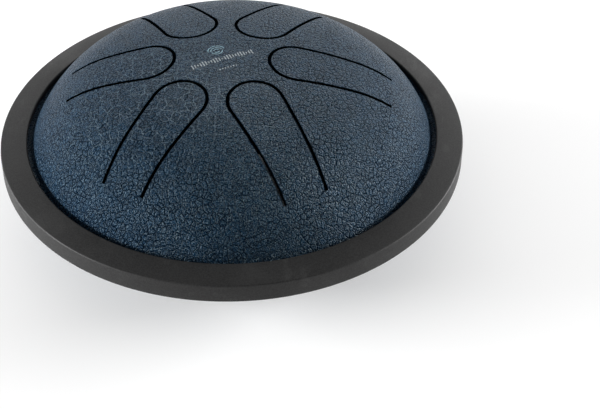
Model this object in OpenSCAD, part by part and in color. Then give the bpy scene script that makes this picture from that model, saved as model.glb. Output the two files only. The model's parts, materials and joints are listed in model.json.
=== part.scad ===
// Six-note steel tongue drum: two pressed steel shells welded rim to rim, a rubber ring over the
// rim, rubber feet, and six tongues cut into the upper shell. Millimetres, +Z up, the origin on the
// drum's axis in the plane that its feet stand on.

/* [Shells] */
// Thickness of the steel sheet of both shells
sheet_t = 1.8; // [1.2:0.1:2.0]
// Height of the upper shell's outside above the seam
dome_h = 39; // [36:0.5:42]
// Radius of curvature of the shallow crown
crown_r = 146; // [140:1:150]
// Radius of curvature of the rounder shoulder
shoulder_r = 48; // [46:0.5:50]
// Slope at which the crown passes into the shoulder, in degrees
crown_slope = 19.6; // [19:0.1:20.5]
// Depth of the lower shell below the seam
pan_depth = 27; // [24:0.5:30]
// Radius of the flat floor of the lower shell
floor_r = 46; // [45:0.5:47]
// Radius of curvature of the lower shell's wall
pan_wall_r = 34; // [33:0.5:35]
// Diameter of the sound hole in the floor
port_d = 52; // [40:1:54]
// Radius of the bend between each shell and its rim flange, on the outside
bend_r = 1.2; // [1:0.1:1.5]
// Radius of the edge of the rim flanges
flange_r = 86; // [84:0.5:86.5]

/* [Tongues] */
// Width of the laser-cut slot around each tongue
slot_w = 1.1; // [0.8:0.1:1.4]
// Distance of a tongue's tip centre from the middle of the pattern
tip_at = 28.6; // [27:0.1:30]
// Radius of a tongue's tip, to the middle of the slot
tip_r = 10.5; // [8:0.1:10.5]
// Distance of the longest tongue's root from the middle of the pattern
root_at = 68.4; // [66:0.1:70]
// Width of the longest tongue at its root, to the middle of the slots
root_w = 17; // [14:0.2:19]
// How far the pattern's middle lies off the drum's axis, along X
pattern_x = -3.2; // [-3.2:0.1:3.2]
// The same along Y
pattern_y = 0.6; // [-1:0.1:1]

/* [Edge ring] */
// Diameter over the ring's upper corner
ring_d = 180; // [178:1:186]
// Radius of the ring's inner upper edge
ring_in_r = 79.3; // [79:0.1:80]
// Height of the ring's inner upper edge above the seam
ring_in_h = 5; // [4.8:0.1:6]
// Height of the ring's outer upper corner above the seam
ring_corner_h = 3; // [2.8:0.1:3.5]
// Depth of the ring's underside below the seam
ring_under = 5.2; // [4:0.1:5.4]

/* [Feet] */
// Height of a foot below the lower shell
foot_h = 4; // [3:0.5:6]
// Diameter of a foot
foot_d = 13; // [10:0.5:15]
// Radius of the circle that the feet stand on
foot_at = 36.5; // [35.5:0.5:37.5]
// Diameter of the hole that a foot's neck snaps into
foot_hole_d = 5; // [4:0.5:6]

/* [Hidden] */
$fn = 96;

root_short = [3.6, 11.4, 13.4, 9.2, 2.7, 0];    // how much nearer each tongue's root is, for its note
tongue_count = len(root_short);
foot_count = 4;
seam_z = foot_h + pan_depth;
root_gap = 0.05;          // lets a tongue turn about its root without biting the shell
neck_play = 0.05;         // between a foot's neck and its hole
weld_r = 1.4;             // radius of the weld bead along the flanges' edges
weld_play = 0.3;          // between the weld bead and the bottom of the ring's groove
ring_taper = 0.25;        // how far the ring's side leans in by its underside
lip_back = 0.8;           // the upper lip's foot from the ring's inner upper edge, on the radius
heel_back = 1.3;          // the same for the lower lip, which stands straight
lip_round = 0.6;          // rounding of the edges of both lips
crease_round = 0.65;      // rounding of the ring's outer upper corner
heel_round = 1.2;         // rounding of its outer lower corner
barb_h = 3;               // a foot's barb inside the shell
barb_flare = 1.5;         // how far the barb is wider than the hole, on the radius
foot_taper = 0.5;         // how far a foot's side leans in by its sole
sole_round = 1;           // rounding of the sole's edge
foot_round = 0.6;         // rounding of a foot's other edges

// Centre of the shoulder's arc, which is tangent to the crown's
shoulder_x = (crown_r - shoulder_r) * sin(crown_slope);
crown_z = seam_z + dome_h - crown_r;
shoulder_z = crown_z + (crown_r - shoulder_r) * cos(crown_slope);
// Slope at which the shoulder passes into the flange's bend, and the centre of that bend
dome_end = acos((seam_z + sheet_t + bend_r - shoulder_z) / (shoulder_r + bend_r));
dome_bend = [shoulder_x + (shoulder_r + bend_r) * sin(dome_end), seam_z + sheet_t + bend_r];
// The same for the lower shell's wall
pan_wall_z = foot_h + pan_wall_r;
pan_end = acos((pan_wall_z - seam_z + sheet_t + bend_r) / (pan_wall_r + bend_r));
pan_bend = [floor_r + (pan_wall_r + bend_r) * sin(pan_end), seam_z - sheet_t - bend_r];

steel_blue = [0.13, 0.21, 0.30];
rubber_black = [0.12, 0.12, 0.12];
weld_grey = [0.45, 0.45, 0.47];

// ---- outlines ----

// Points along an arc, from angle a0 to a1
function arc(centre, r, a0, a1, steps = 6) =
    [for (i = [0:steps]) let (a = a0 + (a1 - a0) * i / steps) centre + r * [cos(a), sin(a)]];

// Unit vector from p to q
function towards(p, q) = (q - p) / norm(q - p);

// Corner b between a and c, rounded to radius r
function rounded(a, b, c, r) =
    let (u = towards(b, a), v = towards(b, c),
         half = acos(u * v) / 2,
         centre = b + towards([0, 0], u + v) * r / sin(half),
         p = b + u * r / tan(half), q = b + v * r / tan(half),
         a0 = atan2(p.y - centre.y, p.x - centre.x),
         turn = atan2(q.y - centre.y, q.x - centre.x) - a0,
         sweep = turn > 180 ? turn - 360 : turn < -180 ? turn + 360 : turn)
    arc(centre, r, a0, a0 + sweep);

// Outline through corners [x, y, radius], where a radius of 0 is a sharp corner
function rounded_outline(corners) =
    let (n = len(corners), at = function(i) [corners[i % n].x, corners[i % n].y])
    [for (i = [0:n - 1])
        let (r = corners[i].z)
        each r > 0 ? rounded(at(i + n - 1), at(i), at(i + 1), r) : [at(i)]];

// Bends of the sheet, one after the other from the middle outwards. Each is [centre, radius of the
// shell's outside, radius of its inside, from angle, to angle, steps].
dome_bends = [
    [[0, crown_z], crown_r, crown_r - sheet_t, 90, 90 - crown_slope, 12],
    [[shoulder_x, shoulder_z], shoulder_r, shoulder_r - sheet_t, 90 - crown_slope, 90 - dome_end, 16],
    [dome_bend, bend_r, bend_r + sheet_t, 270 - dome_end, 270, 6]];
pan_bends = [
    [[floor_r, pan_wall_z], pan_wall_r, pan_wall_r - sheet_t, -90, -90 + pan_end, 16],
    [pan_bend, bend_r, bend_r + sheet_t, 90 + pan_end, 90, 6]];

// The line that a shell's outside (face 1) or inside (face 2) follows through its bends
function face_line(bends, face) =
    [for (i = [0:len(bends) - 1]) let (b = bends[i], line = arc(b[0], b[face], b[3], b[4], b[5]))
        for (k = [i > 0 ? 1 : 0:len(line) - 1]) line[k]];

function backwards(line) = [for (i = [len(line) - 1:-1:0]) line[i]];

module top_profile() {
    polygon(concat(face_line(dome_bends, 1),
                   [[flange_r, seam_z + sheet_t], [flange_r, seam_z]],
                   backwards(face_line(dome_bends, 2))));
}

module bottom_profile() {
    polygon(concat([[port_d / 2, foot_h + sheet_t], [port_d / 2, foot_h]],
                   face_line(pan_bends, 1),
                   [[flange_r, seam_z - sheet_t], [flange_r, seam_z]],
                   backwards(face_line(pan_bends, 2))));
}

// Outline of tongue i, its round tip nearer the middle. grow moves its edge outwards.
module tongue_outline(i, grow) {
    reach = root_at - tip_at;
    side_a = atan2(root_w / 2, reach) + acos(tip_r / norm([reach, root_w / 2]));
    root_x = root_at - root_short[i - 1];
    root_y = (tip_r + grow - (root_x - tip_at) * cos(side_a)) / sin(side_a);
    polygon(concat(arc([tip_at, 0], tip_r + grow, side_a, 360 - side_a, 30),
                   [[root_x, -root_y], [root_x, root_y]]));
}

// Tongue 1 points along +X
module at_tongue(i) {
    translate([pattern_x, pattern_y, 0])
        rotate(360 / tongue_count * (i - 1))
            children();
}

module at_foot(i) {
    rotate(360 / foot_count * (i - 0.5))
        translate([foot_at, 0, 0])
            children();
}

// ---- pieces ----

module top_shell() {
    color(steel_blue)
        difference() {
            rotate_extrude($fn = 180) top_profile();
            for (i = [1:tongue_count])
                at_tongue(i)
                    translate([0, 0, seam_z + 1])
                        linear_extrude(dome_h + 1) tongue_outline(i, slot_w / 2);
        }
}

module tongue(i) {
    color(steel_blue)
        intersection() {
            rotate_extrude($fn = 180) top_profile();
            at_tongue(i)
                translate([-root_gap, 0, seam_z + 1])
                    linear_extrude(dome_h + 1) tongue_outline(i, -slot_w / 2);
        }
}

module bottom_shell() {
    color(steel_blue)
        difference() {
            rotate_extrude($fn = 180) bottom_profile();
            for (i = [1:foot_count])
                at_foot(i)
                    cylinder(h = foot_h + 2 * sheet_t, d = foot_hole_d);
        }
}

module seam_weld() {
    color(weld_grey)
        rotate_extrude($fn = 180)
            intersection() {
                translate([flange_r, seam_z]) circle(weld_r, $fn = 48);
                translate([flange_r, seam_z - weld_r]) square([weld_r, 2 * weld_r]);
            }
}

module edge_ring() {
    groove_r = flange_r + weld_r + weld_play;
    outer_r = ring_d / 2;
    color(rubber_black)
        rotate_extrude($fn = 180)
            polygon(rounded_outline([
                [ring_in_r, seam_z + ring_in_h, lip_round],
                [outer_r, seam_z + ring_corner_h, crease_round],
                [outer_r - ring_taper, seam_z - ring_under, heel_round],
                [ring_in_r + heel_back, seam_z - ring_under, lip_round],
                [ring_in_r + heel_back, seam_z - sheet_t, 0],
                [groove_r, seam_z - sheet_t, 0],
                [groove_r, seam_z + sheet_t, 0],
                [ring_in_r + lip_back, seam_z + sheet_t, 0]]));
}

module foot(i) {
    neck_r = foot_hole_d / 2 - neck_play;
    barb_r = foot_hole_d / 2 + barb_flare;
    inside = foot_h + sheet_t;
    color(rubber_black)
        at_foot(i)
            rotate_extrude($fn = 72)
                polygon(concat([[0, 0]], rounded_outline([
                    [foot_d / 2 - foot_taper, 0, sole_round],
                    [foot_d / 2, foot_h, foot_round],
                    [neck_r, foot_h, 0],
                    [neck_r, inside, 0],
                    [barb_r, inside, 0],
                    [neck_r - foot_taper, inside + barb_h, foot_round],
                    [0, inside + barb_h, 0],
                    [0, 0, 0]])));
}

top_shell();
bottom_shell();
seam_weld();
edge_ring();
for (i = [1:tongue_count])
    tongue(i);
for (i = [1:foot_count])
    foot(i);
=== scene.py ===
import json
import math

import bmesh
import bpy
import numpy as np
from mathutils import Matrix, Vector, kdtree, noise
from mathutils.geometry import delaunay_2d_cdt

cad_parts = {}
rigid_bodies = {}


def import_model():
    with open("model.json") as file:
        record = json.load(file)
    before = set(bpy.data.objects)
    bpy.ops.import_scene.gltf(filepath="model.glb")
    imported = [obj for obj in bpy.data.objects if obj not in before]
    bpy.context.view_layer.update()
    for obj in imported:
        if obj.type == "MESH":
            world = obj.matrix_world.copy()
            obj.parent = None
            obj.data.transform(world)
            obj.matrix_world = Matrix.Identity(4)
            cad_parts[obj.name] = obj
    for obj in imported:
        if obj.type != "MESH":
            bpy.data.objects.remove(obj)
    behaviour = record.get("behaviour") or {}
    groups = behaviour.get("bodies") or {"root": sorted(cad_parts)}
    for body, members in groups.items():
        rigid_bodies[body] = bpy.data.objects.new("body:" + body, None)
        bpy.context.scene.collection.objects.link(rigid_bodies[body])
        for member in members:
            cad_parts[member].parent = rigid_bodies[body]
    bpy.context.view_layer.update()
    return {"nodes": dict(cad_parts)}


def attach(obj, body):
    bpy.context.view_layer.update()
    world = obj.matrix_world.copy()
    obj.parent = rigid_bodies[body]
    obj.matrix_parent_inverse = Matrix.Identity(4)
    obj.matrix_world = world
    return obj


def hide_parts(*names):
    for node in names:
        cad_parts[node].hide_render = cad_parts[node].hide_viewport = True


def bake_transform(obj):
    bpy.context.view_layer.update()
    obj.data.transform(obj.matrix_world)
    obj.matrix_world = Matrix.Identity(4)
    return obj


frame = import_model()

# ---- the CAD model's dimensions, in millimetres ----

MM = 0.001
SHEET_T = 1.8
SEAM_Z = 31
FLANGE_R = 86
BEND_R = 1.2
FLANGE_IN_R = 82
FLANGE_EDGE = 0.2               # the small chamfer round a flange's edge

DOME_H = 39
CROWN_R = 146
SHOULDER_R = 48
CROWN_SLOPE = math.radians(19.6)
CROWN_Z = SEAM_Z + DOME_H - CROWN_R
SHOULDER_X = (CROWN_R - SHOULDER_R) * math.sin(CROWN_SLOPE)
SHOULDER_Z = CROWN_Z + (CROWN_R - SHOULDER_R) * math.cos(CROWN_SLOPE)
DOME_END = math.acos((SEAM_Z + SHEET_T + BEND_R - SHOULDER_Z) / (SHOULDER_R + BEND_R))

FOOT_H = 4
FLOOR_R = 46
PAN_WALL_R = 34
PORT_R = 26
FOOT_AT = 36.5
FOOT_HOLE_R = 2.5
PAN_WALL_Z = FOOT_H + PAN_WALL_R
PAN_END = math.acos((PAN_WALL_Z - SEAM_Z + SHEET_T + BEND_R) / (PAN_WALL_R + BEND_R))

TONGUES = 6
SLOT_HALF = 0.55
TIP_AT = 28.6
TIP_R = 10.5
ROOT_AT = 68.4
ROOT_Y = 8.5
ROOT_SHORT = (3.6, 11.4, 13.4, 9.2, 2.7, 0)
ROOTS = [ROOT_AT - short for short in ROOT_SHORT]
PATTERN = (-3.2, 0.6)
REACH = math.hypot(ROOT_AT - TIP_AT, ROOT_Y)
SIDE_A = math.atan2(ROOT_Y, ROOT_AT - TIP_AT) + math.acos(TIP_R / REACH)

RING_R = 89.95                  # a hair inside the CAD ring's
RING_IN_R = 79.3
RING_IN_H = 5
RING_CORNER_H = 3
RING_UNDER = 5.2
RING_TAPER = 0.25
LIP_BACK = 0.8
HEEL_BACK = 1.3
WELD_R = 1.4
WELD_PLAY = 0.3

# ---- camera ----

CAMERA_AT = (0.05222, -0.62321, 0.51426)
CAMERA_AZIMUTH = 2.368
CAMERA_ELEVATION = 39.596
CAMERA_ROLL = -0.091
CAMERA_LENS = 121.02


def make_camera():
    az, el, roll = (math.radians(a) for a in (CAMERA_AZIMUTH, CAMERA_ELEVATION, CAMERA_ROLL))
    forward = Vector((-math.sin(az) * math.cos(el), math.cos(az) * math.cos(el), -math.sin(el)))
    right = forward.cross(Vector((0, 0, 1))).normalized()
    up = right.cross(forward)
    turn = Matrix.Rotation(-roll, 3, forward)
    camera = bpy.data.objects.new("camera", bpy.data.cameras.new("camera"))
    camera.data.lens = CAMERA_LENS
    camera.data.sensor_width = 36
    camera.data.clip_start = 0.01
    axes = Matrix((right, up, -forward)).transposed()
    camera.matrix_world = Matrix.Translation(CAMERA_AT) @ (turn @ axes).to_4x4()
    bpy.context.scene.collection.objects.link(camera)
    bpy.context.scene.camera = camera


# ---- surfaces of the two pressed shells, by radius ----

def dome_height(r, deep):
    """Height of the upper shell's outside (deep 0) or inside (deep SHEET_T), up to its bend."""
    crown = CROWN_Z + np.sqrt(np.maximum((CROWN_R - deep) ** 2 - r ** 2, 0))
    shoulder = SHOULDER_Z + np.sqrt(np.maximum((SHOULDER_R - deep) ** 2 - (r - SHOULDER_X) ** 2, 0))
    return np.where(r < (CROWN_R - deep) * math.sin(CROWN_SLOPE), crown, shoulder)


def dome_rim(deep):
    return SHOULDER_X + (SHOULDER_R - deep) * math.sin(DOME_END)


def pan_height(r, deep):
    """The same for the lower shell."""
    wall = PAN_WALL_Z - np.sqrt(np.maximum((PAN_WALL_R - deep) ** 2 - (r - FLOOR_R) ** 2, 0))
    return np.where(r < FLOOR_R, FOOT_H + deep, wall)


def pan_rim(deep):
    return FLOOR_R + (PAN_WALL_R - deep) * math.sin(PAN_END)


def arc(centre, r, a0, a1, steps):
    a = np.linspace(a0, a1, steps + 1)
    return np.stack([centre[0] + r * np.cos(a), centre[1] + r * np.sin(a)], 1)


def rim_profile(bend, end, up):
    """Radius and height from a shell's outside, round its flange, to its inside. up is 1 or -1."""
    a0, a1 = -up * (math.pi / 2 + end), -up * math.pi / 2
    outside = arc(bend, BEND_R, a0, a1, 6)
    inside = arc(bend, BEND_R + SHEET_T, a1, a0, 8)
    top = SEAM_Z + up * SHEET_T
    flat = np.array([[FLANGE_IN_R, top], [FLANGE_R - FLANGE_EDGE, top],
                     [FLANGE_R, top - up * FLANGE_EDGE],
                     [FLANGE_R, SEAM_Z], [FLANGE_IN_R, SEAM_Z]])
    return np.concatenate([outside[1:], flat, inside[:-1]])


# ---- the slots' and holes' outlines, in plan ----

SIDE_STEPS = 62
TIP_STEPS = 50
SEAM_BACK = 0.5                 # a tongue's own mesh ends this far short of its root
SEAM_STEPS = 24
PAST_ROOT = 9                   # a tongue's outline, to tell it from its slot, runs on this far
EDGE_ROUND = 0.32               # rounding of the paint over a cut edge
EDGE_STEPS = 3
INSIDE = 0.25                   # how hidden from light a shell's inside is; a slot's wall is 1
RIM_STEPS = 480
HOLE_STEPS = 120
FOOT_HOLE_STEPS = 32


def side_of_slot(k, grow, end):
    """Tongue k's outline in its own plan, grown by grow: from its end at -y round its tip to +y."""
    x0, y0 = TIP_AT + (TIP_R + grow) * math.cos(SIDE_A), (TIP_R + grow) * math.sin(SIDE_A)
    u = np.append(np.linspace(x0, ROOTS[k] - SEAM_BACK, SIDE_STEPS + 1), end)
    line = np.stack([u, y0 - (u - x0) * math.cos(SIDE_A) / math.sin(SIDE_A)], 1)
    tip = arc((TIP_AT, 0), TIP_R + grow, 2 * math.pi - SIDE_A, SIDE_A, TIP_STEPS)[1:-1]
    return np.concatenate([(line * (1, -1))[::-1], tip, line])


def slot_loop(k, away):
    """The slot round tongue k, as a loop that stays away from it by away."""
    outer = side_of_slot(k, SLOT_HALF + away, ROOTS[k] + away)[::-1]
    inner = side_of_slot(k, -SLOT_HALF - away, ROOTS[k] + away)
    low, high = (outer[-1] + inner[0]) / 2, (outer[0] + inner[-1]) / 2
    return to_plan(k, np.concatenate([outer, [low], inner, [high]]))


SLOT_SIDE = len(side_of_slot(0, 0, ROOT_AT))
SEAM_FIRST, SEAM_LAST = SLOT_SIDE + 2, 2 * SLOT_SIDE - 1


def to_plan(k, uv):
    a = 2 * math.pi / TONGUES * k
    turn = np.array([[math.cos(a), math.sin(a)], [-math.sin(a), math.cos(a)]])
    return uv @ turn + PATTERN


def from_plan(k, xy):
    a = 2 * math.pi / TONGUES * k
    turn = np.array([[math.cos(a), -math.sin(a)], [math.sin(a), math.cos(a)]])
    return (xy - PATTERN) @ turn


def in_outline(uv, grow, end):
    x0, y0 = TIP_AT + (TIP_R + grow) * math.cos(SIDE_A), (TIP_R + grow) * math.sin(SIDE_A)
    u, v = uv[:, 0], np.abs(uv[:, 1])
    side = y0 - (u - x0) * math.cos(SIDE_A) / math.sin(SIDE_A)
    return (np.hypot(u - TIP_AT, v) < TIP_R + grow) | ((u > x0) & (u < end) & (v < side))


def dome_piece(xy, away):
    """Which piece a plan point belongs to: -1 for a slot, 0 for the shell, k + 1 for tongue k."""
    piece = np.zeros(len(xy), int)
    for k in range(TONGUES):
        uv = from_plan(k, xy)
        inner = in_outline(uv, -SLOT_HALF - away, ROOTS[k] + PAST_ROOT)
        slot = in_outline(uv, SLOT_HALF + away, ROOTS[k] + away) & ~inner
        piece[slot] = -1
        piece[inner & (uv[:, 0] < ROOTS[k] - SEAM_BACK)] = k + 1
    return piece


HOLES = [((0, 0), PORT_R, HOLE_STEPS)] + [
    ((FOOT_AT * math.cos(a), FOOT_AT * math.sin(a)), FOOT_HOLE_R, FOOT_HOLE_STEPS)
    for a in (math.pi / 2 * (i + 0.5) for i in range(4))]


def pan_piece(xy, away):
    inside = [np.hypot(*(xy - centre).T) < r + away for centre, r, _ in HOLES]
    return np.where(np.any(inside, axis=0), -1, 0)


# ---- mesh building ----

CLEAR = 0.55                    # free room round an outline's points, in grid steps


class Skin:
    """One face of a shell. Its plan is unrolled, so that distances along a radius are true."""

    def __init__(self, height, deep, rim):
        self.height, self.deep, self.rim = height, deep, rim
        self.r = np.linspace(0, rim, 4000)
        z = height(self.r, deep)
        self.s = np.concatenate([[0], np.cumsum(np.hypot(np.diff(self.r), np.diff(z)))])

    def unroll(self, xy):
        r = np.hypot(*xy.T)
        return xy * (np.interp(r, self.r, self.s) / np.maximum(r, 1e-9))[:, None]

    def roll(self, flat):
        s = np.hypot(*flat.T)
        return flat * (np.interp(s, self.s, self.r) / np.maximum(s, 1e-9))[:, None]

    def lift(self, xy):
        return np.column_stack([xy, self.height(np.hypot(*xy.T), self.deep)])

    def triangles(self, loops, lines, step):
        """Plan points and triangles between loops of plan points, the first of them the rim.
        lines are open: (first loop point's index, points between, last loop point's index)."""
        points, edges, count = [], [], 0
        for loop in loops:
            n = len(loop)
            points.append(loop)
            edges += [(count + i, count + (i + 1) % n) for i in range(n)]
            count += n
        for first, between, last in lines:
            chain = [first, *range(count, count + len(between)), last]
            points.append(between)
            edges += list(zip(chain, chain[1:]))
            count += len(between)
        fixed = np.concatenate(points)
        flat = self.unroll(fixed)
        reach = self.s[-1]
        across = np.arange(-reach, reach, step)
        grid = np.array([(x + (step / 2 if j % 2 else 0), y)
                         for j, y in enumerate(np.arange(-reach, reach, step * math.sqrt(3) / 2))
                         for x in across])
        grid = grid[np.hypot(*grid.T) < reach - step / 2]
        tree = kdtree.KDTree(count)
        for i, p in enumerate(flat):
            tree.insert((p[0], p[1], 0), i)
        tree.balance()
        clear = [tree.find((x, y, 0))[2] > CLEAR * step for x, y in grid]
        grid = grid[np.array(clear)]
        corners = [Vector(p) for p in np.concatenate([flat, grid])]
        found = delaunay_2d_cdt(corners, edges, [], 0, 1e-7)
        origin = np.array([o[0] for o in found[3]])
        faces = origin[np.array(found[2])]
        xy = np.concatenate([fixed, self.roll(grid)])
        a, b, c = (xy[faces[:, i]] for i in range(3))
        area = (b - a)[:, 0] * (c - a)[:, 1] - (b - a)[:, 1] * (c - a)[:, 0]
        faces[area < 0] = faces[area < 0][:, ::-1]
        return xy, faces


class Sheet:
    """Triangles of a closed sheet, each with the piece it belongs to and a smoothing group."""

    def __init__(self):
        self.points, self.flat, self.size = [], [], 0       # flat is (x, y, hidden)
        self.faces, self.piece, self.group = [], [], []

    def add_points(self, points, flat, hidden=0):
        self.points.append(points)
        self.flat.append(np.column_stack([flat, np.full(len(flat), hidden)]))
        self.size += len(points)
        return np.arange(self.size - len(points), self.size)

    def add_faces(self, faces, piece, group):
        self.faces.append(faces)
        self.piece.append(np.broadcast_to(piece, len(faces)))
        self.group.append(np.full(len(faces), group))

    def add_band(self, a, b, piece, group, closed=True):
        """Quads, each as two triangles, between two lines of as many points."""
        a2, b2 = (np.roll(v, -1) for v in (a, b))
        quads = np.stack([a, a2, b2, b], 1)
        if not closed:
            quads = quads[:-1]
        piece = np.broadcast_to(piece, len(a))[:len(quads)]
        self.add_faces(np.concatenate([quads[:, :3], quads[:, [0, 2, 3]]]),
                       np.concatenate([piece, piece]), group)

    def objects(self, names, turned):
        """One object for each name. turned flips the sheet over, for a shell that faces down."""
        points, flat = np.concatenate(self.points), np.concatenate(self.flat)
        faces, piece, group = (np.concatenate(v) for v in (self.faces, self.piece, self.group))
        if turned:
            faces = faces[:, ::-1]
        a, b, c = (points[faces[:, i]] for i in range(3))
        across = np.cross(b - a, c - a)
        normals = np.zeros((len(faces), 3, 3))
        for g in np.unique(group):
            mine = group == g
            total = np.zeros_like(points)
            for i in range(3):
                np.add.at(total, faces[mine, i], across[mine])
            total /= np.maximum(np.linalg.norm(total, axis=1), 1e-12)[:, None]
            normals[mine] = total[faces[mine]]
        return [mesh_object(name, points, faces[piece == i], normals[piece == i], flat)
                for i, name in enumerate(names)]


def mesh_object(name, points, faces, normals, flat):
    used, faces = np.unique(faces, return_inverse=True)
    faces = faces.reshape(-1, 3)
    mesh = bpy.data.meshes.new(name)
    mesh.vertices.add(len(used))
    mesh.vertices.foreach_set("co", (points[used] * MM).astype(np.float32).ravel())
    mesh.loops.add(faces.size)
    mesh.loops.foreach_set("vertex_index", faces.astype(np.int32).ravel())
    mesh.polygons.add(len(faces))
    mesh.polygons.foreach_set("loop_start", np.arange(0, faces.size, 3, dtype=np.int32))
    mesh.polygons.foreach_set("use_smooth", np.ones(len(faces), bool))
    mesh.update(calc_edges=True)
    mesh.validate()
    mesh.normals_split_custom_set(normals.reshape(-1, 3).astype(np.float32).tolist())
    place = mesh.attributes.new("unrolled", "FLOAT_VECTOR", "POINT")
    place.data.foreach_set("vector", flat[used].astype(np.float32).ravel())
    obj = bpy.data.objects.new(name, mesh)
    bpy.context.scene.collection.objects.link(obj)
    return obj


def seam_between(k):
    """Plan points between the two ends of tongue k's seam, where it meets the shell."""
    ends = slot_loop(k, EDGE_ROUND)[[SEAM_FIRST, SEAM_LAST]]
    t = np.linspace(0, 1, SEAM_STEPS + 1)[1:-1, None]
    return ends[0] * (1 - t) + ends[1] * t


class Shell:
    """A shell pressed from sheet: its two skins, the walls of its openings and its rim.
    loops_at(away) gives the openings' outlines in plan, moved into the metal by away."""

    def __init__(self, height, rim, loops_at, seams, piece_at, relief):
        self.sheet = Sheet()
        self.outer, self.inner = (Skin(height, deep, rim(deep)) for deep in (0, SHEET_T))
        self.up = 1 if height(0.0, 0) > height(0.0, SHEET_T) else -1
        around = np.linspace(0, 2 * math.pi, RIM_STEPS, endpoint=False)
        self.circle = np.stack([np.cos(around), np.sin(around)], 1)
        turns = np.linspace(0, math.pi / 2, EDGE_STEPS + 1)
        self.drops = EDGE_ROUND * (1 - np.cos(turns))
        self.rows = [loops_at(away) for away in EDGE_ROUND * (1 - np.sin(turns))]
        self.starts = RIM_STEPS + np.cumsum([0] + [len(loop) for loop in self.rows[0]])
        self.seams, self.piece_at, self.relief = seams, piece_at, relief
        self.seam_lines = [seam_between(k) for k in seams]

    def build(self, steps, profile):
        self.outside(steps[0])
        self.rounded_edges()
        self.inside(steps[1])
        self.root_walls()
        self.rim(profile)
        return self.sheet

    def triangles(self, skin, loops, seam_lines, step, away):
        """A skin's plan points and triangles, and the piece that each triangle belongs to."""
        lines = [(self.starts[k] + SEAM_FIRST, seam_lines[k], self.starts[k] + SEAM_LAST)
                 for k in self.seams]
        xy, faces = skin.triangles([self.circle * skin.rim] + loops, lines, step)
        piece = self.piece_at(xy[faces].mean(1), away)
        return xy, faces[piece >= 0], piece[piece >= 0]

    def outside(self, step):
        xy, faces, piece = self.triangles(self.outer, self.rows[0], self.seam_lines, step,
                                          EDGE_ROUND)
        flat = self.outer.unroll(xy)
        self.top = self.sheet.add_points(self.relief(self.outer, xy, flat), flat)
        self.sheet.add_faces(self.top[faces], piece, 0)

    def rounded_edges(self):
        """Bands that turn the outside's edges down into the openings."""
        self.edges = []
        for n, loop in enumerate(self.rows[0]):
            bands = [self.top[self.starts[n]:self.starts[n + 1]]]
            belongs = np.zeros(len(loop), int)
            if n in self.seams:
                belongs[SEAM_FIRST:SEAM_LAST] = n + 1
            for row, drop in list(zip(self.rows, self.drops))[1:]:
                turn = drop / EDGE_ROUND
                flat = self.outer.unroll(row[n])
                lifted = self.relief(self.outer, row[n], flat, 1 - turn)
                lifted[:, 2] -= self.up * drop
                bands.append(self.sheet.add_points(lifted, flat, turn))
                self.sheet.add_band(bands[-2], bands[-1], belongs, 0)
            self.edges.append((bands, belongs))

    def inside(self, step):
        self.inside_lines = []
        for k, line in zip(self.seams, self.seam_lines):
            low = [row[k][SEAM_FIRST] for row in self.rows[:-1][::-1]]
            high = [row[k][SEAM_LAST] for row in self.rows[:-1]]
            self.inside_lines.append(np.concatenate([low, line, high]))
        xy, faces, piece = self.triangles(self.inner, self.rows[-1], self.inside_lines, step, 0)
        self.low = self.sheet.add_points(self.inner.lift(xy), self.inner.unroll(xy), INSIDE)
        self.sheet.add_faces(self.low[faces][:, ::-1], piece, 1)
        for n, (bands, belongs) in enumerate(self.edges):
            loop = self.low[self.starts[n]:self.starts[n + 1]]
            self.sheet.add_band(bands[-1], loop, belongs, 0)

    def root_walls(self):
        """The two walls, face to face, where each tongue meets the shell."""
        top_at = low_at = self.starts[-1]
        for k in self.seams:
            bands = self.edges[k][0]
            between = self.top[top_at:top_at + len(self.seam_lines[k])]
            top = np.concatenate([[b[SEAM_FIRST] for b in bands[::-1]], between,
                                  [b[SEAM_LAST] for b in bands]])
            between = self.low[low_at:low_at + len(self.inside_lines[k])]
            ends = self.low[self.starts[k] + np.array([SEAM_FIRST, SEAM_LAST])]
            low = np.concatenate([ends[:1], between, ends[1:]])
            self.sheet.add_band(low, top, k + 1, 3, closed=False)
            self.sheet.add_band(top, low, 0, 3, closed=False)
            top_at += len(self.seam_lines[k])
            low_at += len(self.inside_lines[k])

    def rim(self, profile):
        bands = [self.top[:RIM_STEPS]]
        for r, z in profile:
            flat = self.circle * (self.outer.s[-1] + r - self.outer.rim)
            points = np.column_stack([self.circle * r, np.full(RIM_STEPS, z)])
            bands.append(self.sheet.add_points(points, flat))
        bands.append(self.low[:RIM_STEPS])
        flange = [i for i, (r, z) in enumerate(profile) if r >= FLANGE_R - FLANGE_EDGE]
        for i, (a, b) in enumerate(zip(bands, bands[1:])):
            group = 0 if i <= flange[0] else 1 if i > flange[-1] else 2
            self.sheet.add_band(b, a, 0, group)


def plain_relief(skin, xy, flat, share=1):
    return skin.lift(xy)


GRAIN_STEP = 2.2                # mean distance between pillows
GRAIN_SCATTER = 0.42            # how far a pillow strays from its place, in steps
GRAIN_DEPTH = 0.03
GROOVE_WIDE = 0.9
PUSH_SCALE, PUSH_FAR = 0.35, 0.8        # noise that bends the grooves
SWELL_SCALE, SWELL_DEPTH = 0.16, 0.07
RIM_FADE = 1.5                  # the relief fades out over this far inside the rim


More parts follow.
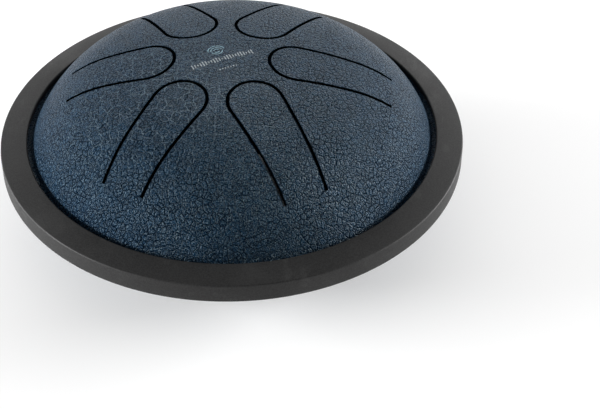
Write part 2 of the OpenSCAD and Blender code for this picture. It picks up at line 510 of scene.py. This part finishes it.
class Grain:
    """The soft pillows and swells under the leather-like paint. Each only lowers the surface."""

    def __init__(self, reach):
        rng = np.random.default_rng(7)
        n = int(reach / GRAIN_STEP) + 2
        seeds = [((i + j % 2 / 2) * GRAIN_STEP, j * GRAIN_STEP * math.sqrt(3) / 2)
                 for i in range(-n, n + 1) for j in range(-n, n + 1)]
        scatter = rng.uniform(-GRAIN_SCATTER, GRAIN_SCATTER, (len(seeds), 2))
        seeds = np.array(seeds) + scatter * GRAIN_STEP
        self.tree = kdtree.KDTree(len(seeds))
        for i, (x, y) in enumerate(seeds):
            self.tree.insert((x, y, 0), i)
        self.tree.balance()

    def depth(self, flat):
        out = np.empty(len(flat))
        for i, (x, y) in enumerate(flat):
            push = [noise.noise((x * PUSH_SCALE, y * PUSH_SCALE, z)) for z in (3.1, 17.3)]
            near = self.tree.find_n((x + PUSH_FAR * push[0], y + PUSH_FAR * push[1], 0), 2)
            groove = 1 - min((near[1][2] - near[0][2]) / GROOVE_WIDE, 1)
            swell = 0.5 + 0.5 * noise.noise((x * SWELL_SCALE, y * SWELL_SCALE, 9.7))
            out[i] = GRAIN_DEPTH * groove * groove * (0.4 + 0.6 * swell) + SWELL_DEPTH * swell
        return out


def dome_relief():
    grain = Grain(Skin(dome_height, 0, dome_rim(0)).s[-1] + 5)

    def relief(skin, xy, flat, share=1):
        r = np.hypot(*xy.T)
        fade = np.clip((skin.rim - r) / RIM_FADE, 0, 1) * share
        depth = grain.depth(flat) * fade
        points = skin.lift(xy)
        crown = r < CROWN_R * math.sin(CROWN_SLOPE)
        centre_r = np.where(crown, 0, SHOULDER_X)
        centre_z = np.where(crown, CROWN_Z, SHOULDER_Z)
        out_r, out_z = r - centre_r, points[:, 2] - centre_z
        length = np.hypot(out_r, out_z)
        points[:, :2] -= xy / np.maximum(r, 1e-9)[:, None] * (depth * out_r / length)[:, None]
        points[:, 2] -= depth * out_z / length
        return points
    return relief


FLEX_LONG = 4                   # a second point on each tongue's axis, this far back from its root; the points are worked out but not used
DOME_STEP = 0.65                # mesh size of the dome's outside
PAN_STEP = 1.4
INSIDE_STEP = 3


def make_dome(paint):
    bend = (SHOULDER_X + (SHOULDER_R + BEND_R) * math.sin(DOME_END), SEAM_Z + SHEET_T + BEND_R)

    def loops_at(away):
        return [slot_loop(k, away) for k in range(TONGUES)]
    dome = Shell(dome_height, dome_rim, loops_at, range(TONGUES), dome_piece, dome_relief())
    sheet = dome.build((DOME_STEP, INSIDE_STEP), rim_profile(bend, DOME_END, 1))
    names = ["upper_shell"] + [f"sprung_tongue_{k + 1}" for k in range(TONGUES)]
    shell, *tongues = sheet.objects(names, turned=False)
    for obj in (shell, *tongues):
        obj.data.materials.append(paint)
    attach(shell, "drum_body")
    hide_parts("top_shell")
    for k, tongue in enumerate(tongues):
        root = ROOTS[k] - SEAM_BACK
        at = [(*to_plan(k, np.array([[u, 0.0]]))[0] * MM, SEAM_Z * MM)
              for u in (root, root - FLEX_LONG)]
        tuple(at[0])
        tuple(at[1])
        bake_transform(tongue)
        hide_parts(f"tongue_{k + 1}")


def make_pan(paint):
    bend = (FLOOR_R + (PAN_WALL_R + BEND_R) * math.sin(PAN_END), SEAM_Z - SHEET_T - BEND_R)

    def loops_at(away):
        return [arc(centre, r + away, 0, 2 * math.pi, n)[:-1] for centre, r, n in HOLES]
    bowl = Shell(pan_height, pan_rim, loops_at, [], pan_piece, plain_relief)
    sheet = bowl.build((PAN_STEP, INSIDE_STEP), rim_profile(bend, PAN_END, -1))
    pan, = sheet.objects(["lower_shell"], turned=True)
    pan.data.materials.append(paint)
    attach(pan, "drum_body")
    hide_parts("bottom_shell")


# ---- edge ring ----

SHARP = math.radians(35)        # edges between faces at a wider angle stay sharp


def rounded(corners, steps=6):
    """Closed outline through (x, y, radius) corners."""
    points = []
    for i, (x, y, r) in enumerate(corners):
        here = Vector((x, y))
        a, b = ((Vector(corners[j % len(corners)][:2]) - here).normalized() for j in (i - 1, i + 1))
        if not r:
            points.append(here)
            continue
        half = a.angle(b) / 2
        centre = here + (a + b).normalized() * r / math.sin(half)
        p, q = (here + v * r / math.tan(half) - centre for v in (a, b))
        points += [centre + r * p.slerp(q, t / steps) for t in range(steps + 1)]
    return [(p.x, p.y) for p in points]


def turned(name, outline):
    """A closed outline of (radius, height) turned about the drum's axis."""
    bm = bmesh.new()
    around = [2 * math.pi * i / RIM_STEPS for i in range(RIM_STEPS)]
    rings = [[bm.verts.new((r * math.cos(a) * MM, r * math.sin(a) * MM, z * MM)) for a in around]
             for r, z in outline]
    for a, b in zip(rings, rings[1:] + rings[:1]):
        for i in range(RIM_STEPS):
            j = (i + 1) % RIM_STEPS
            bm.faces.new((a[i], b[i], b[j], a[j]))
    bmesh.ops.recalc_face_normals(bm, faces=bm.faces)
    mesh = bpy.data.meshes.new(name)
    bm.to_mesh(mesh)
    bm.free()
    mesh.shade_smooth()
    mesh.set_sharp_from_angle(angle=SHARP)
    obj = bpy.data.objects.new(name, mesh)
    bpy.context.scene.collection.objects.link(obj)
    return obj


def make_ring(rubber):
    groove_r = FLANGE_R + WELD_R + WELD_PLAY
    ring = turned("rubber_edge", rounded([
        (RING_IN_R, SEAM_Z + RING_IN_H, 0.6),
        (RING_R, SEAM_Z + RING_CORNER_H, 0.65),
        (RING_R - RING_TAPER, SEAM_Z - RING_UNDER, 1.2),
        (RING_IN_R + HEEL_BACK, SEAM_Z - RING_UNDER, 0.6),
        (RING_IN_R + HEEL_BACK, SEAM_Z - SHEET_T, 0),
        (groove_r, SEAM_Z - SHEET_T, 0),
        (groove_r, SEAM_Z + SHEET_T, 0),
        (RING_IN_R + LIP_BACK, SEAM_Z + SHEET_T, 0)]))
    ring.data.materials.append(rubber)
    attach(ring, "drum_body")
    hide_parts("edge_ring")


# ---- materials ----

class Shader:
    """A new material and short calls to wire its nodes."""

    def __init__(self, name, sockets):
        self.material = bpy.data.materials.new(name)
        self.material.use_nodes = True
        self.tree = self.material.node_tree
        self.surface = self.tree.nodes["Principled BSDF"]
        for key, value in sockets.items():
            self.put(self.surface.inputs[key], value)

    def put(self, socket, value):
        if isinstance(value, bpy.types.NodeSocket):
            self.tree.links.new(value, socket)
        else:
            socket.default_value = value

    def node(self, kind, inputs, output=0, **settings):
        node = self.tree.nodes.new("ShaderNode" + kind)
        for key, value in settings.items():
            setattr(node, key, value)
        for key, value in inputs.items():
            self.put(node.inputs[key], value)
        return node.outputs[output]

    def math(self, operation, a, b=0.0, c=0.0):
        return self.node("Math", {0: a, 1: b, 2: c}, operation=operation)

    def noise(self, vector, scale, detail=2.0, rough=0.5):
        return self.node("TexNoise", {"Vector": vector, "Scale": scale, "Detail": detail,
                                      "Roughness": rough})

    def ramp(self, value, low, high, out_low=0.0, out_high=1.0):
        return self.node("MapRange", {"Value": value, "From Min": low, "From Max": high,
                                      "To Min": out_low, "To Max": out_high},
                         interpolation_type="SMOOTHSTEP")

    def mix(self, factor, a, b):
        node = self.tree.nodes.new("ShaderNodeMix")
        node.data_type = "RGBA"
        for index, value in ((0, factor), (6, a), (7, b)):
            self.put(node.inputs[index], value)
        return node.outputs[2]

    def bump(self, height, strength, distance):
        return self.node("Bump", {"Height": height, "Strength": strength, "Distance": distance})


PRINT_AT = (-2.7, -1.3, 0)      # the printed motif's centre in plan
PRINT_TURN = math.radians(26)
RIPPLE_V = 6.2
WAVE_V = 0.5
DOTS_V = -5.5


def printed_motif(s, flat):
    """Masks of a plain print: ripple arcs, and bars like a sound wave over a row of dots."""
    at = s.node("VectorMath", {0: flat, 1: PRINT_AT}, operation="SUBTRACT")
    at = s.node("VectorRotate", {"Vector": at, "Angle": -PRINT_TURN}, rotation_type="Z_AXIS")
    u, v = (s.node("SeparateXYZ", {0: at}, i) for i in (0, 1))
    away = s.node("VectorMath", {0: at, 1: (0, RIPPLE_V, 0)}, 1, operation="DISTANCE")
    arcs = s.ramp(s.math("PINGPONG", away, 0.55), 0.17, 0.27, 1.0, 0.0)
    reach = s.ramp(v, RIPPLE_V - 0.3, RIPPLE_V + 0.3, 2.7, 3.8)
    off_axis = s.math("ABSOLUTE", s.math("SUBTRACT", v, RIPPLE_V))
    arcs = s.math("MULTIPLY", arcs, s.math("LESS_THAN", away, reach))
    arcs = s.math("MULTIPLY", arcs, s.ramp(off_axis, 0.4, 0.5))

    comb = s.ramp(s.math("PINGPONG", u, 0.55), 0.2, 0.3, 1.0, 0.0)
    along = s.math("ABSOLUTE", u)
    swing = s.math("ABSOLUTE", s.math("SINE", s.math("MULTIPLY", u, 0.62)))
    tall = s.math("MULTIPLY_ADD", swing, 1.1, 0.35)
    bars = s.math("LESS_THAN", s.math("ABSOLUTE", s.math("SUBTRACT", v, WAVE_V)), tall)
    bars = s.math("MULTIPLY", bars, s.math("LESS_THAN", along, 12.9))
    dots = s.math("LESS_THAN", s.math("ABSOLUTE", s.math("SUBTRACT", v, DOTS_V)), 0.35)
    dots = s.math("MULTIPLY", dots, s.math("LESS_THAN", along, 4.2))
    return arcs, s.math("MULTIPLY", comb, s.math("MAXIMUM", bars, dots))


FOLDS_AT = (-32, -24, 0)        # the middle of the area with wrinkles, whose ridges carry a painted highlight


def warp(s, flat, scale, far):
    """Plan coordinates pushed about by up to far / 2."""
    swirl = s.node("TexNoise", {"Vector": flat, "Scale": scale, "Detail": 2.0}, 1)
    swirl = s.node("VectorMath", {0: swirl, 1: (0.5, 0.5, 0.5)}, operation="SUBTRACT")
    return s.node("VectorMath", {0: swirl, 1: (far, far, 0), 2: flat}, operation="MULTIPLY_ADD")


def cracks(s, flat, scale):
    """Distance to the nearest edge between cells 1 / scale wide."""
    return s.node("TexVoronoi", {"Vector": flat, "Scale": scale}, feature="DISTANCE_TO_EDGE",
                  voronoi_dimensions="2D")


def grained_paint():
    """Navy powder coat with a leather-like grain. Its pattern lies in the unrolled sheet, in mm."""
    s = Shader("grained_paint", {"Specular Tint": (0.64, 0.90, 0.98, 1)})
    place = s.node("Attribute", {}, 1, attribute_name="unrolled")
    flat = s.node("VectorMath", {0: place, 1: (1, 1, 0)}, operation="MULTIPLY")
    hidden = s.node("SeparateXYZ", {0: place}, 2)
    warped = warp(s, warp(s, flat, 0.3, 2.2), 1.9, 0.6)
    cells, small = (cracks(s, warped, scale) for scale in (0.47, 1.25))
    facet = s.node("TexVoronoi", {"Vector": warped, "Scale": 0.47}, 1, voronoi_dimensions="2D")
    creases = cracks(s, warp(s, flat, 0.22, 3.5), 0.27)
    patches = s.ramp(s.noise(flat, 0.09, 3.0), 0.35, 0.62)
    fine = s.noise(flat, 1.3, 4.0, 0.65)
    grit_and_glint = s.ramp(s.noise(flat, 1.9, 2.0, 0.6), 0.36, 0.64)
    fold_at = s.node("VectorMath", {0: flat, 1: FOLDS_AT}, 1, operation="DISTANCE")
    folded = s.math("MULTIPLY", s.ramp(fold_at, 16.0, 46.0, 1.0, 0.15),
                    s.ramp(s.noise(flat, 0.17, 2.0), 0.36, 0.5))
    fold_and_highlight = s.math("MULTIPLY", s.ramp(creases, 0.005, 0.055, 1.0, 0.0), folded)

    groove = s.ramp(cells, 0.0, 0.17)
    height = s.math("MULTIPLY_ADD", s.ramp(small, 0.0, 0.25), 0.4, groove)
    height = s.math("MULTIPLY_ADD", fine, 0.6, height)
    height = s.math("MULTIPLY_ADD", grit_and_glint, 0.22, height)
    height = s.math("MULTIPLY_ADD", fold_and_highlight, 0.9, height)
    tone = s.ramp(s.noise(flat, 0.22, 3.0), 0.3, 0.7, 0.0, 0.55)
    tone = s.math("MULTIPLY_ADD", s.ramp(facet, 0.2, 0.8), 0.45, tone)
    navy = s.mix(tone, (0.0006, 0.0105, 0.031, 1), (0.0022, 0.0255, 0.064, 1))
    # painted glints and painted shade: the grit's lighter specks stand in for tiny highlights on
    # the grain, its darker specks for shaded facets
    navy = s.mix(s.ramp(grit_and_glint, 0.0, 0.5, 0.6, 0.0), navy, (0.0012, 0.0065, 0.014, 1))
    navy = s.mix(s.ramp(grit_and_glint, 0.7, 1.0, 0.0, 0.45), navy, (0.010, 0.045, 0.088, 1))
    # painted shade: the grain's cracks and fine cracks are darkened as if in shadow, and lose their
    # sheen
    line = s.ramp(cells, 0.0, 0.13, 1.0, 0.0)
    crack_shade = s.math("MULTIPLY", line, s.ramp(patches, 0.0, 1.0, 0.5, 0.95))
    colour = s.mix(crack_shade, navy, (0.0010, 0.004, 0.009, 1))
    colour = s.mix(s.ramp(small, 0.0, 0.13, 0.5, 0.0), colour, (0.0012, 0.005, 0.011, 1))
    # painted highlight: the wrinkles' ridges are lightened as if catching light; their relief goes
    # into the bump
    colour = s.mix(s.math("MULTIPLY", fold_and_highlight, 0.75), colour, (0.10, 0.15, 0.19, 1))
    arcs, bars = printed_motif(s, flat)
    shown = s.math("MULTIPLY", s.ramp(hidden, 0.0, 0.1, 0.85, 0.0),
                   s.ramp(groove, 0.0, 0.6, 0.55, 1.0))
    colour = s.mix(s.math("MULTIPLY", arcs, shown), colour, (0.22, 0.36, 0.42, 1))
    colour = s.mix(s.math("MULTIPLY", bars, shown), colour, (0.35, 0.38, 0.39, 1))
    # painted shade: the shells' inside, the slots' walls and the turn of each cut edge go towards
    # black the more hidden from light they are
    colour = s.mix(s.ramp(hidden, 0.0, 0.5), colour, (0.001, 0.0015, 0.002, 1))
    s.put(s.surface.inputs["Base Color"], colour)
    sheen = s.math("MULTIPLY", s.ramp(grit_and_glint, 0.25, 1.0, 0.05, 0.62), s.math("SUBTRACT", 1.0, crack_shade))
    sheen = s.math("MULTIPLY", sheen, s.ramp(hidden, 0.0, 0.35, 1.0, 0.0))
    s.put(s.surface.inputs["Specular IOR Level"], sheen)
    s.put(s.surface.inputs["Roughness"], s.ramp(fine, 0.25, 0.75, 0.36, 0.52))
    s.put(s.surface.inputs["Normal"], s.bump(height, 1.0, 0.00038))
    return s.material


def matte_rubber(name, pale):
    """Black rubber, fine-grained, with a little dust. pale is its share of the dusty colour."""
    s = Shader(name, {"Specular IOR Level": 0.31})
    place = s.node("TexCoord", {}, 3)
    dust = s.noise(place, 38.0, 5.0, 0.62)
    smear = s.node("Mapping", {"Vector": place, "Scale": (1.0, 0.35, 1.0)})
    scuff = s.ramp(s.noise(smear, 120.0, 4.0, 0.7), 0.56, 0.70)
    fine = s.noise(place, 1900.0, 3.0, 0.65)
    colour = s.mix(s.ramp(fine, 0.36, 0.64), (0.0085, 0.0085, 0.0087, 1), (0.020, 0.020, 0.0202, 1))
    colour = s.mix(s.ramp(dust, 0.46, 0.72, 0.0, pale), colour, (0.038, 0.038, 0.0375, 1))
    colour = s.mix(s.math("MULTIPLY", scuff, 0.10), colour, (0.12, 0.12, 0.118, 1))
    s.put(s.surface.inputs["Base Color"], colour)
    s.put(s.surface.inputs["Roughness"], s.ramp(dust, 0.3, 0.7, 0.52, 0.68))
    s.put(s.surface.inputs["Normal"], s.bump(fine, 0.35, 0.00010))
    return s.material


def weld_steel():
    """A run of weld: rippled along the rim, tinted by its own heat."""
    s = Shader("weld_steel", {"Metallic": 1.0})
    place = s.node("TexCoord", {}, 3)
    x, y = (s.node("SeparateXYZ", {0: place}, i) for i in (0, 1))
    uneven = s.noise(place, 90.0, 3.0)
    phase = s.math("MULTIPLY_ADD", s.math("ARCTAN2", y, x), 330.0, s.math("MULTIPLY", uneven, 9.0))
    ripple = s.math("SINE", phase)
    colour = s.mix(s.ramp(uneven, 0.38, 0.62), (0.21, 0.18, 0.14, 1), (0.15, 0.18, 0.24, 1))
    s.put(s.surface.inputs["Base Color"], colour)
    s.put(s.surface.inputs["Roughness"], s.ramp(ripple, -1.0, 1.0, 0.32, 0.5))
    s.put(s.surface.inputs["Normal"], s.bump(ripple, 0.6, 0.00025))
    return s.material


def finish_node(name, material):
    for slot in frame["nodes"][name].material_slots:
        slot.material = material


# ---- studio ----

def paper_floor():
    """White paper. Its glow lifts it to a paper white, and fades out of sight under the drum."""
    s = Shader("floor", {"Base Color": (0.9, 0.9, 0.9, 1), "Roughness": 0.9,
                         "Emission Color": (1, 1, 1, 1)})
    away = s.node("VectorMath", {0: s.node("TexCoord", {}, 3)}, 1, operation="LENGTH")
    s.put(s.surface.inputs["Emission Strength"], s.ramp(away, 0.030, 0.055, 0.0, 0.12))
    return s.material


def make_floor():
    half = 6.0
    mesh = bpy.data.meshes.new("floor")
    mesh.from_pydata([(-half, -half, 0), (half, -half, 0), (half, half, 0), (-half, half, 0)],
                     [], [(0, 1, 2, 3)])
    mesh.materials.append(paper_floor())
    floor = bpy.data.objects.new("floor", mesh)
    bpy.context.scene.collection.objects.link(floor)


def softbox(name, at, target, size, power):
    light = bpy.data.lights.new(name, "AREA")
    light.shape = "RECTANGLE"
    light.size, light.size_y = size
    light.energy = power
    lamp = bpy.data.objects.new(name, light)
    lamp.location = at
    lamp.rotation_euler = (Vector(target) - Vector(at)).to_track_quat("-Z", "Y").to_euler()
    bpy.context.scene.collection.objects.link(lamp)


SKY = 0.36                      # strength of the plain white sky
AIM = (0, 0, 0.04)
LAMPS = [                       # name, place, size, power
    ("left", (-1.3, -0.1, 0.28), (0.9, 0.2), 39),
    ("right", (1.22, 0.45, 0.28), (0.9, 0.2), 32),
    ("back", (0.0, 1.6, 0.5), (1.6, 0.3), 9)]


def light_studio():
    world = bpy.data.worlds.new("studio")
    bpy.context.scene.world = world
    world.use_nodes = True
    sky = world.node_tree.nodes["Background"]
    sky.inputs["Color"].default_value = (1, 1, 1, 1)
    sky.inputs["Strength"].default_value = SKY
    for name, at, size, power in LAMPS:
        softbox(name, at, AIM, size, power)
    bpy.context.scene.view_settings.view_transform = "Standard"


make_camera()
light_studio()
make_floor()
paint = grained_paint()
rubber = matte_rubber("edge_rubber", 0.30)
make_dome(paint)
make_pan(paint)
make_ring(rubber)
finish_node("seam_weld", weld_steel())
foot_rubber = matte_rubber("foot_rubber", 0.12)
for i in range(4):
    finish_node(f"foot_{i + 1}", foot_rubber)
